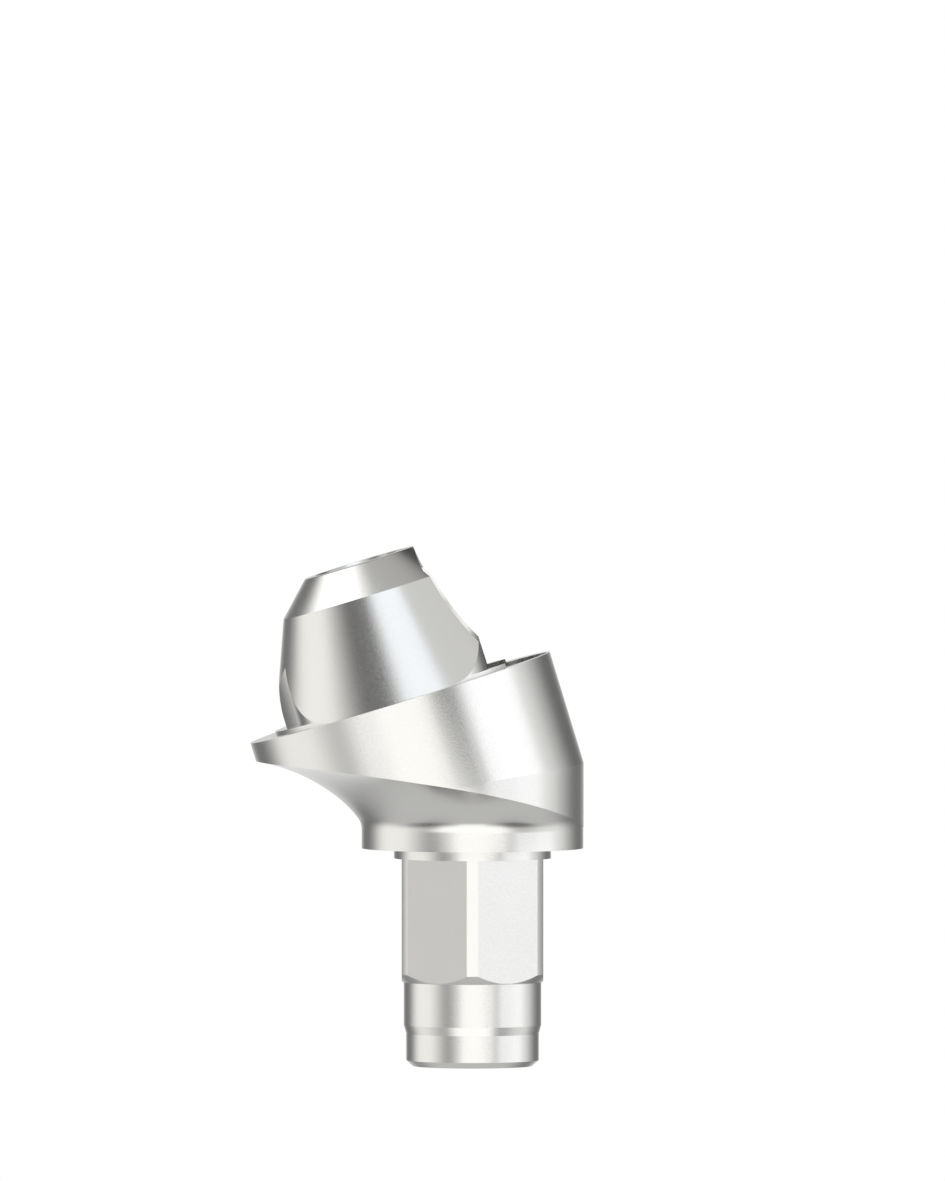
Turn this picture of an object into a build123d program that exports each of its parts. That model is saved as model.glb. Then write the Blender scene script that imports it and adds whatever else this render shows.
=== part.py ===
from build123d import *
import os
from math import cos, radians, sin, sqrt, tan

# A one-piece angled abutment for a screw-retained dental bridge, in millimetres.
# The implant axis is +Z, and the origin is the centre of the platform's underside,
# where the abutment sits on the implant. The prosthetic axis leans towards -X.
# The part is symmetric about the XZ plane.

# Prosthetic axis: the lower half of the body is set back from the implant axis,
# and the axis turns by the tilt at the elbow height
TILT = 17.0
ELBOW_SETBACK = 0.695
ELBOW_HEIGHT = 0.955
SHOULDER_LENGTH = 1.42

# Platform and flare: a straight band, then three tangent arcs whose slopes are
# measured from the horizontal
PLATFORM_DIAMETER = 3.40
BAND_HEIGHT = 0.285
ROOT_RADIUS = 0.30
THROAT_RADIUS = 1.70
LIP_RADIUS = 2.75
ROOT_END_SLOPE = 53.0
THROAT_END_SLOPE = 39.0
LIP_END_SLOPE = 3.0

# Disc, and the low ring step that shows where the cone is cut away
DISC_DIAMETER = 4.80
RING_DIAMETER = 3.97
RING_HEIGHT = 0.06

# Cone with its steep lead-in chamfer, heights measured from the disc's top
CONE_FOOT_DIAMETER = 4.02
CONE_HALF_ANGLE = 21.3
CHAMFER_START = 1.67
CHAMFER_ANGLE = 45.0
CONE_HEIGHT = 2.165
CONE_EDGE_RADIUS = 0.05

# Indexed foot of the cone: two round-ended shields and a ridge at the back
LOBE_RADIUS = 1.06
BACK_LOBE_ANGLE = 123.0
FRONT_LOBE_ANGLE = 66.0
RIDGE_REACH = 1.80
RIDGE_HALF_WIDTH = 0.535
RIDGE_FACET_RADIUS = 2.30
RIDGE_CREST_RADIUS = 2.10

# Threaded hole for the prosthetic screw, at its tapping size
PROSTHETIC_HOLE_DIAMETER = 1.10
PROSTHETIC_HOLE_DEPTH = 2.35
PROSTHETIC_MOUTH_CHAMFER = 0.15
DRILL_POINT_ANGLE = 118.0

# Channel of the abutment screw, from its roof down to the seat of the screw's head
HEAD_PASSAGE_DIAMETER = 1.80
CHAMBER_DIAMETER = 2.28
CHAMBER_TOP = 4.28
CHAMBER_ROOF_ANGLE = 33.0
CHAMBER_FLOOR = 0.92
SEAT_HEIGHT = 0.30
SCREW_BORE_DIAMETER = 1.46
SEAT_ANGLE = 45.0

# Post that enters the implant, from the platform down. The hexagon's corners are turned
# off flush with the collar above them.
COLLAR_DIAMETER = 2.41
COLLAR_LENGTH = 0.155
HEX_ACROSS_FLATS = 2.17
HEX_LENGTH = 1.90
HEX_END_CHAMFER = 0.13
GUIDE_DIAMETER = 2.11
GUIDE_LENGTH = 0.66
NECK_DIAMETER = 2.036
NECK_TAPER_LENGTH = 0.13
NECK_LENGTH = 0.41
POST_END_DIAMETER = 1.832
POST_END_LENGTH = 0.09

# Overlap by which joined solids run into each other, and cutters past their walls, and the
# hair by which a cutter's arc stays outside the faces that it runs into
OVERLAP = 0.10
STAND_OFF = 0.003

# Places that follow from the sizes above
hex_top = -COLLAR_LENGTH
hex_bottom = hex_top - HEX_LENGTH
guide_bottom = hex_bottom - GUIDE_LENGTH
neck_top = guide_bottom - NECK_TAPER_LENGTH
neck_bottom = neck_top - NECK_LENGTH
post_bottom = neck_bottom - POST_END_LENGTH

elbow = Vector(-ELBOW_SETBACK, 0, ELBOW_HEIGHT)
tilted_axis = Vector(-sin(radians(TILT)), 0, cos(radians(TILT)))
tilted_side = Vector(cos(radians(TILT)), 0, sin(radians(TILT)))
disc_centre = elbow + tilted_axis * SHOULDER_LENGTH

# Plane of the disc's top: its z is the prosthetic axis, its x leans up and forward
disc_plane = Plane(origin=disc_centre, x_dir=tilted_side, z_dir=tilted_axis)


def revolved(corners):
    """Turn a closed outline of (radius, height) corners about the Z axis."""
    face = make_face(Polyline([(r, 0, z) for r, z in corners], close=True))
    return revolve(face, Axis.Z)


def flare():
    """The solid under the emergence profile, turned about the implant axis."""
    radius = PLATFORM_DIAMETER / 2
    band = Line((radius, 0), (radius, BAND_HEIGHT))
    root = JernArc(band @ 1, (0, 1), ROOT_RADIUS, ROOT_END_SLOPE - 90)
    throat = JernArc(root @ 1, root % 1, THROAT_RADIUS, THROAT_END_SLOPE - ROOT_END_SLOPE)
    lip = JernArc(throat @ 1, throat % 1, LIP_RADIUS, LIP_END_SLOPE - THROAT_END_SLOPE)
    rim = lip @ 1
    top = disc_centre.Z + DISC_DIAMETER
    lid = Polyline(rim, (rim.X, top), (0, top), (0, 0), (radius, 0))
    face = make_face(band + root + throat + lip + lid)
    return revolve(Plane.XZ * face, Axis.Z)


def elbow_body():
    """Two equal round bars that meet at the elbow in its bisecting plane."""
    radius = DISC_DIAMETER / 2
    half = radians(TILT / 2)
    bend = Plane(origin=elbow, x_dir=(cos(half), 0, sin(half)), z_dir=(-sin(half), 0, cos(half)))
    reach = ELBOW_HEIGHT + DISC_DIAMETER
    lower = Pos(-ELBOW_SETBACK, 0, 0) * Cylinder(radius, reach, align=(Align.CENTER, Align.CENTER, Align.MIN))
    upper = disc_plane * Cylinder(radius, reach, align=(Align.CENTER, Align.CENTER, Align.MAX))
    lower = split(lower, bisect_by=bend, keep=Keep.BOTTOM)
    upper = split(upper, bisect_by=bend, keep=Keep.TOP)
    return lower + upper


def cone():
    """The cone and its lead-in chamfer, with a rounded top edge, standing on the disc's plane."""
    foot = CONE_FOOT_DIAMETER / 2
    shoulder = foot - CHAMFER_START * tan(radians(CONE_HALF_ANGLE))
    top = shoulder - (CONE_HEIGHT - CHAMFER_START) * tan(radians(CHAMFER_ANGLE))
    corners = [(0, 0), (foot, 0), (shoulder, CHAMFER_START), (top, CONE_HEIGHT), (0, CONE_HEIGHT)]
    face = make_face(Polyline([(r, z) for r, z in corners], close=True))
    top_corner = face.vertices().sort_by_distance((top, CONE_HEIGHT))[0]
    face = fillet(top_corner, CONE_EDGE_RADIUS)
    return revolve(Plane.XZ * face, Axis.Z)


def indexed_outline():
    """Outline of the cone's foot, seen along the prosthetic axis."""
    foot = CONE_FOOT_DIAMETER / 2
    offset = foot - LOBE_RADIUS

    def around(centre, radius, degrees):
        return centre + Vector(cos(radians(degrees)), sin(radians(degrees))) * radius

    origin = Vector(0, 0)
    front = around(origin, offset, FRONT_LOBE_ANGLE)
    back = around(origin, offset, BACK_LOBE_ANGLE)
    front_end = around(front, LOBE_RADIUS, 0)
    front_start = around(origin, foot, FRONT_LOBE_ANGLE)
    back_start = around(origin, foot, BACK_LOBE_ANGLE)
    drop = back.Y - RIDGE_HALF_WIDTH
    corner = Vector(back.X - sqrt(LOBE_RADIUS ** 2 - drop ** 2), RIDGE_HALF_WIDTH)
    tip = Vector(-RIDGE_REACH, 0)

    mouth = Line((front_end.X, 0), front_end)
    front_lobe = ThreePointArc(front_end, around(front, LOBE_RADIUS, FRONT_LOBE_ANGLE / 2), front_start)
    middle = (FRONT_LOBE_ANGLE + BACK_LOBE_ANGLE) / 2
    shield = ThreePointArc(front_start, around(origin, foot, middle), back_start)
    back_lobe = ThreePointArc(back_start, around(back, LOBE_RADIUS, (BACK_LOBE_ANGLE + 180) / 2), corner)
    facet = RadiusArc(corner, tip, -RIDGE_FACET_RADIUS)
    half = mouth + front_lobe + shield + back_lobe + facet
    return make_face(half + mirror(half, Plane.XZ))


def crest_cutter():
    """Cutter that rounds the ridge's crest, seen from the side, up into the cone's slope."""
    slope = radians(CONE_HALF_ANGLE)
    crossing = (CONE_FOOT_DIAMETER / 2 - RIDGE_REACH) / tan(slope)
    start = (-RIDGE_REACH - STAND_OFF, crossing - RIDGE_CREST_RADIUS * tan(slope / 2))
    crest = JernArc(start, (0, 1), RIDGE_CREST_RADIUS, -CONE_HALF_ANGLE)
    outside = -DISC_DIAMETER / 2
    rest = Polyline(crest @ 1, (outside, (crest @ 1).Y), (outside, start[1]), start)
    return extrude(Plane.XZ * make_face(crest + rest), RIDGE_HALF_WIDTH, both=True)


def head():
    """Ring step and indexed cone, placed on the disc."""
    ring = Cylinder(RING_DIAMETER / 2, RING_HEIGHT + OVERLAP, align=(Align.CENTER, Align.CENTER, Align.MIN))
    foot = Pos(0, 0, -OVERLAP) * extrude(indexed_outline(), CONE_HEIGHT + 2 * OVERLAP)
    return disc_plane * (Pos(0, 0, -OVERLAP) * ring + (cone() & foot) - crest_cutter())


def post():
    """Collar, trimmed hexagon, guide cylinder and chamfered neck below the platform."""
    collar = COLLAR_DIAMETER / 2
    guide = GUIDE_DIAMETER / 2
    neck = NECK_DIAMETER / 2
    end = POST_END_DIAMETER / 2
    round_part = revolved([
        (0, OVERLAP), (collar, OVERLAP), (collar, hex_top), (guide, hex_top), (guide, guide_bottom),
        (neck, neck_top), (neck, neck_bottom), (end, post_bottom), (0, post_bottom)])
    trim = revolved([
        (0, hex_top), (collar, hex_top), (collar, hex_bottom + HEX_END_CHAMFER),
        (collar - HEX_END_CHAMFER, hex_bottom), (0, hex_bottom)])
    flats = RegularPolygon(HEX_ACROSS_FLATS / 2, 6, major_radius=False, rotation=30)
    hexagon = Pos(0, 0, hex_bottom) * extrude(flats, HEX_LENGTH)
    return round_part + (hexagon & trim)


def screw_channel():
    """Cutter of the abutment screw's way in, its seat and its bore, about the implant axis."""
    passage = HEAD_PASSAGE_DIAMETER / 2
    chamber = CHAMBER_DIAMETER / 2
    bore = SCREW_BORE_DIAMETER / 2
    step = chamber - passage
    roof_top = CHAMBER_TOP + step / tan(radians(CHAMBER_ROOF_ANGLE))
    seat_bottom = SEAT_HEIGHT - (passage - bore) / tan(radians(SEAT_ANGLE))
    above = disc_centre.Z + CONE_HEIGHT + DISC_DIAMETER / 2
    return revolved([
        (0, above), (passage, above), (passage, roof_top), (chamber, CHAMBER_TOP),
        (chamber, CHAMBER_FLOOR), (passage, CHAMBER_FLOOR - step), (passage, SEAT_HEIGHT),
        (bore, seat_bottom), (bore, post_bottom - OVERLAP), (0, post_bottom - OVERLAP)])


def prosthetic_hole():
    """Cutter of the threaded hole, with its mouth chamfer and drill point."""
    radius = PROSTHETIC_HOLE_DIAMETER / 2
    mouth = radius + PROSTHETIC_MOUTH_CHAMFER
    bottom = CONE_HEIGHT - PROSTHETIC_HOLE_DEPTH
    point = bottom - radius / tan(radians(DRILL_POINT_ANGLE / 2))
    cutter = revolved([
        (0, CONE_HEIGHT + OVERLAP), (mouth + OVERLAP, CONE_HEIGHT + OVERLAP), (mouth, CONE_HEIGHT),
        (radius, CONE_HEIGHT - PROSTHETIC_MOUTH_CHAMFER), (radius, bottom), (0, point)])
    return disc_plane * cutter


def abutment():
    body = (elbow_body() & flare()) + head() + post()
    return body - screw_channel() - prosthetic_hole()


os.makedirs("parts", exist_ok=True)
export_step(abutment(), "parts/abutment_body.step")
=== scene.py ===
import bpy
from math import atan2, cos, pi, radians, sin, sqrt, tan
from mathutils import Matrix, Vector


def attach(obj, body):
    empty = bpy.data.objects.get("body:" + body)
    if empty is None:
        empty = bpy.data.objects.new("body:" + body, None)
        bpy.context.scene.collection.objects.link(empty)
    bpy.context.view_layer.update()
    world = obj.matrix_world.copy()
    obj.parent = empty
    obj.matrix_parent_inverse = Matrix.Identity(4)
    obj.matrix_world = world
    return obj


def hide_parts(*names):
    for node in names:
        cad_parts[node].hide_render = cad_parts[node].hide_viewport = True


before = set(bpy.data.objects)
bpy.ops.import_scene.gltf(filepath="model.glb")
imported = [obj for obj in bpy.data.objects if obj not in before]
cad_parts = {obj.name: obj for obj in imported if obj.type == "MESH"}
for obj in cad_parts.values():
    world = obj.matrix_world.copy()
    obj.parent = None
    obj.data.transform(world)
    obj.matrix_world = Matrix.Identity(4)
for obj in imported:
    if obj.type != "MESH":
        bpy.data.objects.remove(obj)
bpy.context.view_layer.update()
bpy.ops.object.select_all(action="DESELECT")

# The blank: a round titanium bar with a mitred elbow, whose lower half is set back from
# the implant axis and whose upper half leans towards the prosthetic axis. Everything is
# turned and milled in millimetres, and the finished piece is brought to metres.
TILT = radians(17.0)
BAR_RADIUS = 2.40
ELBOW_SETBACK = 0.695
ELBOW_HEIGHT = 0.955
SHOULDER_LENGTH = 1.42
LAP = 0.10
FACETS = 288
FACING_UP = 0.9

leaning = Matrix.Rotation(-TILT, 4, "Y")
disc_centre = Vector((-ELBOW_SETBACK, 0, ELBOW_HEIGHT)) + leaning @ Vector((0, 0, SHOULDER_LENGTH))
disc_place = Matrix.Translation(disc_centre) @ leaning


def elbow_blank():
    bpy.ops.mesh.primitive_cylinder_add(vertices=FACETS, radius=BAR_RADIUS, depth=1.0)
    blank = bpy.context.object
    blank.name = "abutment"
    bpy.ops.object.mode_set(mode="EDIT")
    bpy.ops.mesh.select_all(action="DESELECT")
    bpy.ops.object.mode_set(mode="OBJECT")
    for face in blank.data.polygons:
        face.select = face.normal.z > FACING_UP
    bpy.ops.object.mode_set(mode="EDIT")
    bpy.ops.mesh.extrude_region_move(TRANSFORM_OT_translate={"value": (0, 0, 1.0)})
    bpy.ops.object.mode_set(mode="OBJECT")
    for vertex in blank.data.vertices:
        x, y, z = vertex.co
        if z < 0:
            vertex.co = (x - ELBOW_SETBACK, y, -LAP)
        elif z < 1:
            vertex.co = (x - ELBOW_SETBACK, y, ELBOW_HEIGHT + x * tan(TILT / 2))
        else:
            vertex.co = disc_place @ Vector((x, y, 0))
    return blank


abutment = elbow_blank()


# The flare under the disc: a straight band round the platform, then three tangent arcs,
# turned about the implant axis. The blank keeps only what lies inside it.
PLATFORM_RADIUS = 1.70
BAND_HEIGHT = 0.285
FLARE_ARCS = ((0.30, 90, 53, 10), (1.70, 53, 39, 8), (2.75, 39, 3, 22))
FLARE_LID = 6.0
SEAM = 1e-5


def lathe(name, outline, facets=FACETS):
    """A closed solid turned about Z. Its outline of (radius, height) starts and ends on the axis."""
    mesh = bpy.data.meshes.new(name)
    edges = [(i, i + 1) for i in range(len(outline) - 1)]
    mesh.from_pydata([(r, 0, z) for r, z in outline], edges, [])
    turned = bpy.data.objects.new(name, mesh)
    bpy.context.collection.objects.link(turned)
    bpy.ops.object.select_all(action="DESELECT")
    turned.select_set(True)
    bpy.context.view_layer.objects.active = turned
    bpy.ops.object.mode_set(mode="EDIT")
    bpy.ops.mesh.select_all(action="SELECT")
    bpy.ops.mesh.spin(steps=facets, angle=2 * pi, center=(0, 0, 0), axis=(0, 0, 1))
    bpy.ops.mesh.select_all(action="SELECT")
    bpy.ops.mesh.remove_doubles(threshold=SEAM)
    bpy.ops.mesh.normals_make_consistent(inside=False)
    bpy.ops.object.mode_set(mode="OBJECT")
    return turned


def arc(start, radius, slope_from, slope_to, steps):
    """Points of a hollow arc that leaves start at one slope and ends at another, in degrees."""
    points = []
    first = radians(slope_from)
    for i in range(1, steps + 1):
        slope = radians(slope_from + (slope_to - slope_from) * i / steps)
        out = radius * (sin(first) - sin(slope))
        up = radius * (cos(slope) - cos(first))
        points.append((start[0] + out, start[1] + up))
    return points


def cut(body, tool, operation):
    """The tool is joined to the body, cut out of it or kept common with it, and then put away."""
    boolean = body.modifiers.new("cut", "BOOLEAN")
    boolean.operation = operation
    boolean.solver = "EXACT"
    boolean.object = tool
    bpy.ops.object.select_all(action="DESELECT")
    bpy.context.view_layer.objects.active = body
    body.select_set(True)
    bpy.ops.object.modifier_apply(modifier=boolean.name)
    bpy.data.objects.remove(tool)


flare_outline = [(0, 0), (PLATFORM_RADIUS, 0), (PLATFORM_RADIUS, BAND_HEIGHT)]
for radius, slope_from, slope_to, steps in FLARE_ARCS:
    flare_outline += arc(flare_outline[-1], radius, slope_from, slope_to, steps)
flare_outline += [(flare_outline[-1][0], FLARE_LID), (0, FLARE_LID)]
cut(abutment, lathe("flare", flare_outline), "INTERSECT")


# The post that enters the implant, turned first: a collar, a longer stretch of the same
# width, a guide cylinder, and a slightly thinner neck with a chamfered end. Six flats are
# then milled on the stretch below the collar, which leave a hexagon with turned-off corners.
COLLAR_RADIUS = 1.205
COLLAR_BOTTOM = -0.155
HEX_ACROSS_FLATS = 2.17
HEX_BOTTOM = -2.055
HEX_CHAMFER = 0.13
GUIDE_RADIUS = 1.055
GUIDE_BOTTOM = -2.715
NECK_RADIUS = 1.018
NECK_TOP = -2.845
NECK_BOTTOM = -3.255
END_RADIUS = 0.916
END_BOTTOM = -3.345
HEXAGON_DEPTH = 3.0

post = lathe("post", [
    (0, LAP), (COLLAR_RADIUS, LAP), (COLLAR_RADIUS, HEX_BOTTOM + HEX_CHAMFER),
    (COLLAR_RADIUS - HEX_CHAMFER, HEX_BOTTOM), (GUIDE_RADIUS, HEX_BOTTOM), (GUIDE_RADIUS, GUIDE_BOTTOM),
    (NECK_RADIUS, NECK_TOP), (NECK_RADIUS, NECK_BOTTOM), (END_RADIUS, END_BOTTOM), (0, END_BOTTOM)])
flats = lathe("flats", [
    (0, COLLAR_BOTTOM), (PLATFORM_RADIUS, COLLAR_BOTTOM),
    (PLATFORM_RADIUS, HEX_BOTTOM - LAP), (0, HEX_BOTTOM - LAP)])
bpy.ops.object.select_all(action="DESELECT")
bpy.ops.mesh.primitive_cylinder_add(
    vertices=6, radius=HEX_ACROSS_FLATS / 2 / cos(pi / 6), depth=HEXAGON_DEPTH,
    location=(0, 0, -HEXAGON_DEPTH / 2))
hexagon = bpy.context.object
bpy.ops.object.transform_apply(location=True, rotation=True, scale=True)
cut(flats, hexagon, "DIFFERENCE")
cut(post, flats, "DIFFERENCE")
cut(abutment, post, "UNION")


# The head, milled on the blank's tilted top: a low ring step, and a cone with a steep lead-in
# chamfer. Its foot is indexed by two round-ended shields and a ridge at the back, whose crest
# is rounded up into the cone's slope.
RING_RADIUS = 1.985
RING_HEIGHT = 0.06
CONE_FOOT_RADIUS = 2.01
CONE_HALF_ANGLE = radians(21.3)
CHAMFER_START = 1.67
CONE_HEIGHT = 2.165
TOP_EDGE_RADIUS = 0.05
LOBE_RADIUS = 1.06
BACK_LOBE = radians(123.0)
FRONT_LOBE = radians(66.0)
RIDGE_REACH = 1.80
RIDGE_HALF_WIDTH = 0.535
RIDGE_FACET_RADIUS = 2.30
CREST_RADIUS = 2.10
STAND_OFF = 0.003
ARC_STEP = radians(1.25)


def round_points(centre, radius, start, end):
    """Points round a centre from one angle to another, both ends included."""
    steps = max(2, round(abs(end - start) / ARC_STEP))
    turns = [start + (end - start) * i / steps for i in range(steps + 1)]
    return [(centre[0] + radius * cos(t), centre[1] + radius * sin(t)) for t in turns]


def foot_outline():
    """Half of the indexed foot, from the screw channel's side round to the ridge."""
    offset = CONE_FOOT_RADIUS - LOBE_RADIUS
    front = (offset * cos(FRONT_LOBE), offset * sin(FRONT_LOBE))
    back = (offset * cos(BACK_LOBE), offset * sin(BACK_LOBE))
    drop = back[1] - RIDGE_HALF_WIDTH
    corner_turn = pi + atan2(drop, sqrt(LOBE_RADIUS ** 2 - drop ** 2))
    half = round_points(front, LOBE_RADIUS, 0, FRONT_LOBE)
    half += round_points((0, 0), CONE_FOOT_RADIUS + LAP, FRONT_LOBE, BACK_LOBE)
    half += round_points(back, LOBE_RADIUS, BACK_LOBE, corner_turn)
    corner = Vector(half[-1])
    tip = Vector((-RIDGE_REACH, 0))
    chord = tip - corner
    bow = sqrt(RIDGE_FACET_RADIUS ** 2 - (chord.length / 2) ** 2)
    inward = Vector((-chord.y, chord.x)).normalized()
    centre = (corner + tip) / 2 + inward * bow
    first = atan2(corner.y - centre.y, corner.x - centre.x) % (2 * pi)
    last = atan2(tip.y - centre.y, tip.x - centre.x) % (2 * pi)
    return half + round_points(centre, RIDGE_FACET_RADIUS, first, last)[1:]


def prism(name, outline, bottom, top):
    """A closed solid, drawn up from bottom to top on an outline of (x, y)."""
    mesh = bpy.data.meshes.new(name)
    mesh.from_pydata([(x, y, bottom) for x, y in outline], [], [list(range(len(outline)))])
    drawn = bpy.data.objects.new(name, mesh)
    bpy.context.collection.objects.link(drawn)
    bpy.ops.object.select_all(action="DESELECT")
    drawn.select_set(True)
    bpy.context.view_layer.objects.active = drawn
    bpy.ops.object.mode_set(mode="EDIT")
    bpy.ops.mesh.select_all(action="SELECT")
    bpy.ops.mesh.extrude_region_move(TRANSFORM_OT_translate={"value": (0, 0, top - bottom)})
    bpy.ops.mesh.select_all(action="SELECT")
    bpy.ops.mesh.normals_make_consistent(inside=False)
    bpy.ops.object.mode_set(mode="OBJECT")
    return drawn


def crest_cutter():
    """What rounds the ridge's crest: an arc seen from the side, parallel to the axis at its foot."""
    crossing = (CONE_FOOT_RADIUS - RIDGE_REACH) / tan(CONE_HALF_ANGLE)
    start = crossing - CREST_RADIUS * tan(CONE_HALF_ANGLE / 2)
    centre = (CREST_RADIUS - RIDGE_REACH - STAND_OFF, start)
    crest = round_points(centre, CREST_RADIUS, pi, pi - CONE_HALF_ANGLE)
    outline = crest + [(-BAR_RADIUS, crest[-1][1]), (-BAR_RADIUS, start)]
    cutter = prism("crest_cutter", outline, -RIDGE_HALF_WIDTH, RIDGE_HALF_WIDTH)
    cutter.data.transform(Matrix.Rotation(pi / 2, 4, "X"))
    return cutter


def cone_radius(height):
    """The cone's radius at a height above the disc."""
    return CONE_FOOT_RADIUS - height * tan(CONE_HALF_ANGLE)


shoulder_radius = cone_radius(CHAMFER_START)
top_radius = shoulder_radius - (CONE_HEIGHT - CHAMFER_START)
edge_in = TOP_EDGE_RADIUS * tan(pi / 8)
edge_centre = (top_radius - edge_in, CONE_HEIGHT - TOP_EDGE_RADIUS)
top_edge = round_points(edge_centre, TOP_EDGE_RADIUS, pi / 4, pi / 2)
cone = lathe("cone", [(0, -LAP), (cone_radius(-LAP), -LAP), (shoulder_radius, CHAMFER_START)]
             + top_edge + [(0, CONE_HEIGHT)])
half_foot = foot_outline()
whole_foot = half_foot + [(x, -y) for x, y in reversed(half_foot[1:-1])]
foot = prism("foot", whole_foot, -2 * LAP, CONE_HEIGHT + 2 * LAP)
ring = lathe("ring", [(0, -LAP / 2), (RING_RADIUS, -LAP / 2), (RING_RADIUS, RING_HEIGHT), (0, RING_HEIGHT)])
cut(cone, foot, "INTERSECT")
cut(cone, crest_cutter(), "DIFFERENCE")
cut(cone, ring, "UNION")
cone.data.transform(disc_place)
cut(abutment, cone, "UNION")


# The abutment screw's way in: a narrow passage beside the cone's top ring, a wide chamber
# that opens the cone's side, a pocket with the seat of the screw's head, and the bore.
PASSAGE_RADIUS = 0.90
CHAMBER_RADIUS = 1.14
CHAMBER_TOP = 4.28
CHAMBER_ROOF = radians(33.0)
CHAMBER_FLOOR = 0.92
SEAT_TOP = 0.30
BORE_RADIUS = 0.73
CHANNEL_MOUTH = 7.0

step = CHAMBER_RADIUS - PASSAGE_RADIUS
channel = lathe("channel", [
    (0, CHANNEL_MOUTH), (PASSAGE_RADIUS, CHANNEL_MOUTH),
    (PASSAGE_RADIUS, CHAMBER_TOP + step / tan(CHAMBER_ROOF)), (CHAMBER_RADIUS, CHAMBER_TOP),
    (CHAMBER_RADIUS, CHAMBER_FLOOR), (PASSAGE_RADIUS, CHAMBER_FLOOR - step),
    (PASSAGE_RADIUS, SEAT_TOP), (BORE_RADIUS, SEAT_TOP - (PASSAGE_RADIUS - BORE_RADIUS)),
    (BORE_RADIUS, END_BOTTOM - LAP), (0, END_BOTTOM - LAP)])
cut(abutment, channel, "DIFFERENCE")


# The prosthetic screw's hole down the tilted axis: drilled to tapping size, then tapped with
# a fine thread of about 60 degrees, which the chamber lays open lower down.
TAP_DRILL_RADIUS = 0.55
THREAD_RADIUS = 0.70
PITCH = 0.30
HOLE_DEPTH = 2.35
MOUTH_CHAMFER = 0.15
DRILL_POINT = radians(118.0)
THREAD_FACETS = 96
ROWS_PER_PITCH = 16
CREST_END = 0.25
ROOT_START = 0.56
ROOT_END = 0.69


def tap():
    """The shape that drill and tap leave: turned in even rows, with the thread raised on it."""
    bottom = CONE_HEIGHT - HOLE_DEPTH
    row = PITCH / ROWS_PER_PITCH
    rows = round((HOLE_DEPTH - MOUTH_CHAMFER) / row)
    outline = [(0, bottom - TAP_DRILL_RADIUS / tan(DRILL_POINT / 2))]
    outline += [(TAP_DRILL_RADIUS, bottom + row * i) for i in range(rows + 1)]
    outline += [(THREAD_RADIUS, CONE_HEIGHT), (THREAD_RADIUS + LAP, CONE_HEIGHT + LAP)]
    outline += [(0, CONE_HEIGHT + LAP)]
    tool = lathe("tap", outline, THREAD_FACETS)
    thread_top = bottom + row * (rows + 0.5)
    runout = bottom + PITCH
    for vertex in tool.data.vertices:
        x, y, z = vertex.co
        radius = sqrt(x * x + y * y)
        if radius < TAP_DRILL_RADIUS / 2 or z < bottom + row / 2 or z > thread_top:
            continue
        phase = (z / PITCH - atan2(y, x) / (2 * pi)) % 1.0
        if phase < CREST_END:
            height = 0.0
        elif phase < ROOT_START:
            height = (phase - CREST_END) / (ROOT_START - CREST_END)
        elif phase < ROOT_END:
            height = 1.0
        else:
            height = (1.0 - phase) / (1.0 - ROOT_END)
        height *= min(1.0, max(0.0, (z - bottom) / (runout - bottom)))
        grown = (TAP_DRILL_RADIUS + (THREAD_RADIUS - TAP_DRILL_RADIUS) * height) / radius
        vertex.co = (x * grown, y * grown, z)
    tool.data.transform(disc_place)
    return tool


cut(abutment, tap(), "DIFFERENCE")


# Deburring: slivers left by the cutters are merged, turned faces are smoothed up to their
# sharp edges, and the piece is brought to metres, where it stands for the CAD solid.
SLIVER = 0.0008
SHARP = radians(6)
METRES_PER_MM = 0.001

bpy.ops.object.select_all(action="DESELECT")
abutment.select_set(True)
bpy.context.view_layer.objects.active = abutment
bpy.ops.object.mode_set(mode="EDIT")
bpy.ops.mesh.select_all(action="SELECT")
bpy.ops.mesh.remove_doubles(threshold=SLIVER)
bpy.ops.mesh.normals_make_consistent(inside=False)
bpy.ops.object.mode_set(mode="OBJECT")
abutment.data.transform(Matrix.Scale(METRES_PER_MM, 4))
bpy.ops.object.shade_smooth_by_angle(angle=SHARP)
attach(abutment, "root")
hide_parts("abutment_body")


# The finish: satin titanium as it leaves the mill, a slightly warm silver. Its tone drifts
# a little over the surface, and a fine even grain breaks up its polish.
TITANIUM = (0.733, 0.731, 0.721, 1.0)
TITANIUM_DARKER = (0.702, 0.699, 0.688, 1.0)
POLISH = 0.19
ROUGHEST = 0.26
DRIFT_SIZE = 0.0009
DRIFT_DETAIL = 4.0
GRAIN_SIZE = 0.00003
GRAIN_DETAIL = 2.0
GRAIN_HEIGHT = 0.0000005
GRAIN_LOW = 0.3
GRAIN_HIGH = 0.7

titanium = bpy.data.materials.new("satin_titanium")
titanium.use_nodes = True
nodes = titanium.node_tree.nodes
links = titanium.node_tree.links
metal = nodes["Principled BSDF"]
metal.inputs["Metallic"].default_value = 1.0
place = nodes.new("ShaderNodeTexCoord")

drift = nodes.new("ShaderNodeTexNoise")
drift.inputs["Scale"].default_value = 1 / DRIFT_SIZE
drift.inputs["Detail"].default_value = DRIFT_DETAIL
links.new(place.outputs["Object"], drift.inputs["Vector"])
tone = nodes.new("ShaderNodeMix")
tone.data_type = "RGBA"
tone.inputs["A"].default_value = TITANIUM
tone.inputs["B"].default_value = TITANIUM_DARKER
links.new(drift.outputs["Fac"], tone.inputs["Factor"])
links.new(tone.outputs["Result"], metal.inputs["Base Color"])

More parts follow.
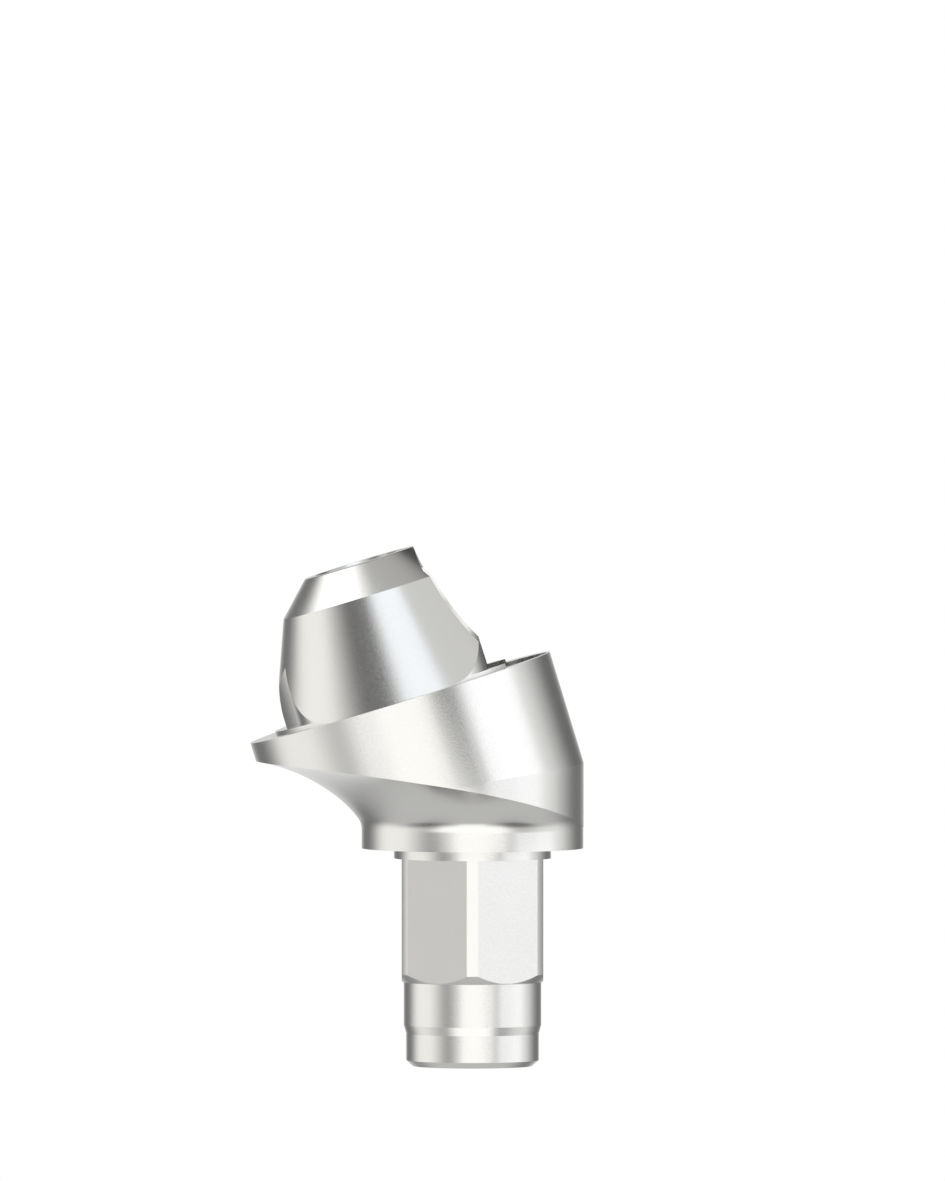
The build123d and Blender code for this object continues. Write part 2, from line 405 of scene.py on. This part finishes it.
grain = nodes.new("ShaderNodeTexNoise")
grain.inputs["Scale"].default_value = 1 / GRAIN_SIZE
grain.inputs["Detail"].default_value = GRAIN_DETAIL
links.new(place.outputs["Object"], grain.inputs["Vector"])
relief = nodes.new("ShaderNodeBump")
relief.inputs["Strength"].default_value = 1.0
relief.inputs["Distance"].default_value = GRAIN_HEIGHT
links.new(grain.outputs["Fac"], relief.inputs["Height"])
links.new(relief.outputs["Normal"], metal.inputs["Normal"])

polish = nodes.new("ShaderNodeMapRange")
polish.inputs["From Min"].default_value = GRAIN_LOW
polish.inputs["From Max"].default_value = GRAIN_HIGH
polish.inputs["To Min"].default_value = POLISH
polish.inputs["To Max"].default_value = ROUGHEST
links.new(grain.outputs["Fac"], polish.inputs["Value"])
links.new(polish.outputs["Result"], metal.inputs["Roughness"])
abutment.data.materials.clear()
abutment.data.materials.append(titanium)


# The studio round the part: softboxes in front and at both sides, black flags between them
# that give the metal its dark bands, a white wall behind and a pale floor. Each panel lies
# over the ones before it, and the camera itself sees plain white.
PALE_FLOOR = (0.65, 0.648, 0.64, 1.0)
CAMERA_WHITE = (1.0, 1.0, 1.0, 1.0)
HALF_TURN = 180.0
CEILING = (0.53, 0.525, 0.51, 1.0)
WHITE_WALL = (0.90, 0.90, 0.90, 1.0)
LEFT_BOX = (1.18, 1.165, 1.12, 1.0)
LEFT_BOX_TOP = (1.80, 1.79, 1.76, 1.0)
RIGHT_FILL = (1.00, 1.00, 0.99, 1.0)
RIGHT_TOP = (0.80, 0.797, 0.785, 1.0)
RIGHT_BOX = (1.45, 1.46, 1.48, 1.0)
FRONT_BOX = (1.35, 1.34, 1.30, 1.0)
FRONT_BOX_TOP = (1.30, 1.34, 1.40, 1.0)
FRONT_BOX_LOW = (1.45, 1.44, 1.41, 1.0)
FLAG = (0.20, 0.20, 0.20, 1.0)
BLACK_FLAG = (0.07, 0.07, 0.07, 1.0)
LOW_FLAG = (0.15, 0.148, 0.144, 1.0)
# A panel has a name, its place in degrees round from the wall (+ right) and up from the level,
# its half width, half height and soft edge in degrees, and its light.
PANELS = (
    ("ceiling", 0, 90, 200, 30, 5, CEILING),
    ("white_wall", -10, -5, 25, 30, 5, WHITE_WALL),
    ("left_box", -90, 5, 25, 35, 15, LEFT_BOX),
    ("left_box_top", -90, 50, 45, 20, 10, LEFT_BOX_TOP),
    ("right_fill", 90, -5, 20, 25, 10, RIGHT_FILL),
    ("right_top", 105, 50, 40, 15, 5, RIGHT_TOP),
    ("right_box", 110, 10, 25, 15, 5, RIGHT_BOX),
    ("front_box", 180, 5, 20, 65, 5, FRONT_BOX),
    ("front_box_top", 180, 60, 35, 25, 5, FRONT_BOX_TOP),
    ("front_box_low", 180, -25, 40, 20, 10, FRONT_BOX_LOW),
    ("front_right_low", 155, -15, 10, 15, 5, FRONT_BOX_LOW),
    ("flag_front_right", 150, 15, 10, 10, 5, FLAG),
    ("flag_back_left", -35, 20, 20, 60, 15, FLAG),
    ("flag_back_right", 35, 0, 20, 45, 15, FLAG),
    ("flag_back_top", 20, 35, 20, 25, 15, BLACK_FLAG),
    ("flag_front_left", -140, 20, 10, 25, 10, FLAG),
    ("flag_front_left_top", -135, 40, 30, 15, 10, LOW_FLAG),
    ("flag_low_left", -120, -50, 20, 15, 15, LOW_FLAG),
    ("flag_low_right", 120, -50, 20, 15, 10, LOW_FLAG),
)


def math_node(tree, operation, *values):
    """One Math node, fed by numbers and by other nodes' outputs."""
    node = tree.nodes.new("ShaderNodeMath")
    node.operation = operation
    for i, value in enumerate(values):
        if isinstance(value, (int, float)):
            node.inputs[i].default_value = value
        else:
            tree.links.new(value, node.inputs[i])
    return node.outputs[0]


def panel_group():
    """Node group: one rectangle of light or black in the studio, laid over what is behind it."""
    group = bpy.data.node_groups.new("studio_panel", "ShaderNodeTree")
    for name in ("Around", "Up", "Panel Around", "Panel Up", "Half Width", "Half Height", "Edge"):
        group.interface.new_socket(name, in_out="INPUT", socket_type="NodeSocketFloat")
    for name in ("Behind", "Light"):
        group.interface.new_socket(name, in_out="INPUT", socket_type="NodeSocketColor")
    group.interface.new_socket("Seen", in_out="OUTPUT", socket_type="NodeSocketColor")
    given = group.nodes.new("NodeGroupInput")
    result = group.nodes.new("NodeGroupOutput")

    def inside(distance, half):
        """1 within the panel, 0 beyond it, with a soft edge between."""
        node = group.nodes.new("ShaderNodeMapRange")
        node.interpolation_type = "SMOOTHSTEP"
        group.links.new(distance, node.inputs["Value"])
        group.links.new(math_node(group, "ADD", half, given.outputs["Edge"]), node.inputs["From Min"])
        group.links.new(math_node(group, "SUBTRACT", half, given.outputs["Edge"]), node.inputs["From Max"])
        return node.outputs["Result"]

    turn = math_node(group, "SUBTRACT", given.outputs["Around"], given.outputs["Panel Around"])
    across = math_node(group, "ABSOLUTE", math_node(group, "WRAP", turn, HALF_TURN, -HALF_TURN))
    climb = math_node(group, "SUBTRACT", given.outputs["Up"], given.outputs["Panel Up"])
    rise = math_node(group, "ABSOLUTE", climb)
    in_width = inside(across, given.outputs["Half Width"])
    in_height = inside(rise, given.outputs["Half Height"])
    cover = math_node(group, "MULTIPLY", in_width, in_height)
    laid = group.nodes.new("ShaderNodeMix")
    laid.data_type = "RGBA"
    group.links.new(cover, laid.inputs["Factor"])
    group.links.new(given.outputs["Behind"], laid.inputs["A"])
    group.links.new(given.outputs["Light"], laid.inputs["B"])
    group.links.new(laid.outputs["Result"], result.inputs["Seen"])
    return group


def studio_world():
    """The world: every panel laid over the pale floor in turn, by the direction looked in."""
    world = bpy.data.worlds.new("studio")
    world.use_nodes = True
    tree = world.node_tree
    nodes = tree.nodes
    links = tree.links
    direction = nodes.new("ShaderNodeTexCoord")
    parts = nodes.new("ShaderNodeSeparateXYZ")
    links.new(direction.outputs["Generated"], parts.inputs["Vector"])
    turn = math_node(tree, "ARCTAN2", parts.outputs["X"], parts.outputs["Y"])
    around = math_node(tree, "DEGREES", turn)
    up = math_node(tree, "DEGREES", math_node(tree, "ARCSINE", parts.outputs["Z"]))
    group = panel_group()
    seen = None
    for name, panel_around, panel_up, half_width, half_height, edge, light in PANELS:
        panel = nodes.new("ShaderNodeGroup")
        panel.name = name
        panel.node_tree = group
        links.new(around, panel.inputs["Around"])
        links.new(up, panel.inputs["Up"])
        panel.inputs["Panel Around"].default_value = panel_around
        panel.inputs["Panel Up"].default_value = panel_up
        panel.inputs["Half Width"].default_value = half_width
        panel.inputs["Half Height"].default_value = half_height
        panel.inputs["Edge"].default_value = edge
        panel.inputs["Light"].default_value = light
        if seen is None:
            panel.inputs["Behind"].default_value = PALE_FLOOR
        else:
            links.new(seen, panel.inputs["Behind"])
        seen = panel.outputs["Seen"]

    path = nodes.new("ShaderNodeLightPath")
    view = nodes.new("ShaderNodeMix")
    view.data_type = "RGBA"
    links.new(path.outputs["Is Camera Ray"], view.inputs["Factor"])
    links.new(seen, view.inputs["A"])
    view.inputs["B"].default_value = CAMERA_WHITE
    links.new(view.outputs["Result"], nodes["Background"].inputs["Color"])
    return world


bpy.context.scene.world = studio_world()


# The camera: a very long lens from the side, slightly above the part.
PIXELS_PER_MM = 65.2
PHOTO_HEIGHT = 1181
AIM_HEIGHT = 0.003952
DISTANCE = 0.45
ELEVATION = radians(1.8)
SENSOR = 36.0
NEAR_CLIP = 0.01
frame_height = PHOTO_HEIGHT / PIXELS_PER_MM * METRES_PER_MM
camera = bpy.data.cameras.new("camera")
camera.sensor_width = SENSOR
camera.lens = SENSOR * DISTANCE / frame_height
eye = bpy.data.objects.new("camera", camera)
eye.location = (0, -DISTANCE * cos(ELEVATION), AIM_HEIGHT + DISTANCE * sin(ELEVATION))
eye.rotation_euler = (pi / 2 - ELEVATION, 0, 0)
camera.clip_start = NEAR_CLIP
bpy.context.collection.objects.link(eye)
bpy.context.scene.camera = eye
bpy.context.scene.view_settings.view_transform = "Standard"
